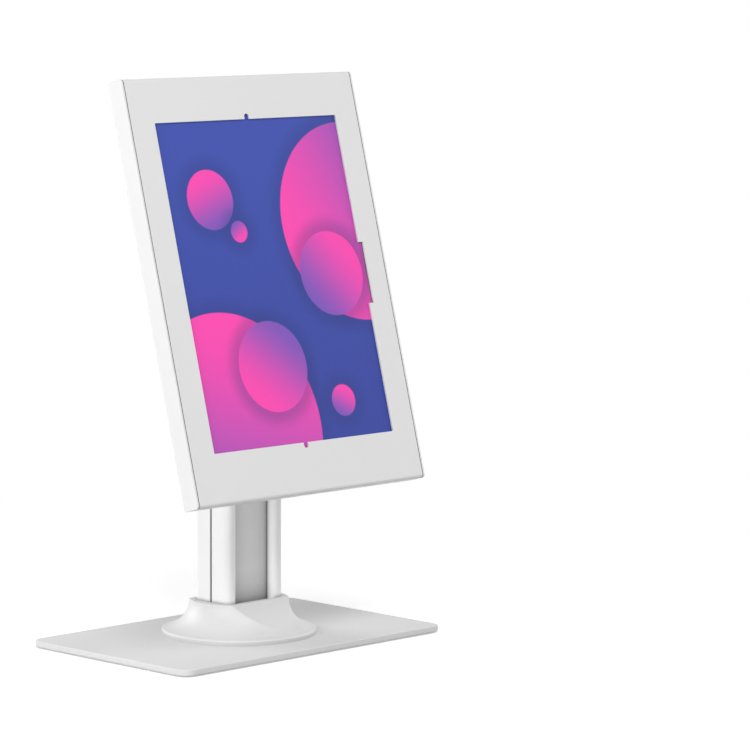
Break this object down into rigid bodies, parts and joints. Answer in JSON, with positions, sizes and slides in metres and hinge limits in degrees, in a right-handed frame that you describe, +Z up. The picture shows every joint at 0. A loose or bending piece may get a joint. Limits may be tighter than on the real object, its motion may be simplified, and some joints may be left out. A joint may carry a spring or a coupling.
{
  "type": "tablet security kiosk stand",
  "caption": "Counter stand with a heavy flat base, a round-nosed pole, a tilting and turning head, and a lockable sheet-metal enclosure framing a tablet's screen.",
  "frame": {"origin": "centre of the base's underside, on the counter", "axes": "+Z up, the screen faces -Y, +X to the right of a person facing the screen"},
  "size_m": [0.296, 0.19, 0.4695],
  "materials": {
    "powder_coat": "satin white powder coat on sheet steel",
    "pole_coat": "satin white powder coat on an aluminium extrusion",
    "collar_plastic": "moulded white plastic, satin",
    "fastener_steel": "zinc-plated steel",
    "lock_metal": "satin nickel-plated",
    "foot_rubber": "black rubber",
    "foam": "pale closed-cell foam",
    "tablet_shell": "anodised, bead-blasted",
    "tablet_screen": "glossy glass bonded to the lit display",
    "tablet_inside": "dark electronics",
    "camera_glass": "glossy black lens cover"
  },
  "bodies": {
    "stand": {"base_plate": "powder_coat", "rubber_feet": "foot_rubber", "base_screws": "fastener_steel", "pole_extrusion": "pole_coat", "pole_collar": "collar_plastic", "pole_bracket": "powder_coat", "bracket_screws": "fastener_steel", "pivot_bolts": "powder_coat", "pivot_nuts": "fastener_steel", "clamp_bolts": "fastener_steel", "clamp_washers": "powder_coat", "clamp_nuts": "fastener_steel"},
    "yoke": {"tilt_yoke": "powder_coat"},
    "head": {"hub_ring": "powder_coat", "hub_screws": "fastener_steel", "turntable_disc": "powder_coat", "mounting_plate": "powder_coat", "plate_screws": "fastener_steel", "rear_tray": "powder_coat", "upper_rail": "powder_coat", "lower_rail": "powder_coat", "rail_pads": "foam", "side_ledge_left": "powder_coat", "side_ledge_right": "powder_coat", "tablet_stops": "foam", "lock_housing": "lock_metal", "lock_nut": "fastener_steel", "tablet_housing": "tablet_shell", "tablet_glass": "tablet_screen", "tablet_display": "tablet_inside", "tablet_battery": "tablet_inside", "tablet_camera": "camera_glass"},
    "lock": {"lock_plug": "lock_metal", "lock_cam": "fastener_steel", "cam_screw": "fastener_steel"},
    "cover": {"front_cover": "powder_coat", "cover_hooks": "powder_coat", "cover_keeper": "powder_coat"}
  },
  "joints": [
    {"name": "head_tilt", "type": "hinge", "parent": "stand", "child": "yoke", "pos_m": [0, -0.0155, 0.2735], "axis": [-1, 0, 0], "range_deg": [-15, 45]},
    {"name": "head_turn", "type": "hinge", "parent": "yoke", "child": "head", "pos_m": [0, -0.02173, 0.29546], "axis": [0, -0.9659, 0.2588], "range_deg": [-90, 90]},
    {"name": "lock_turn", "type": "hinge", "parent": "head", "child": "lock", "pos_m": [0, 0.01289, 0.45074], "axis": [0, -0.9659, 0.2588], "range_deg": [0, 90]},
    {"name": "cover_swing", "type": "hinge", "parent": "head", "child": "cover", "pos_m": [0, -0.07321, 0.12943], "axis": [1, 0, 0], "range_deg": [0, 60]}
  ]
}
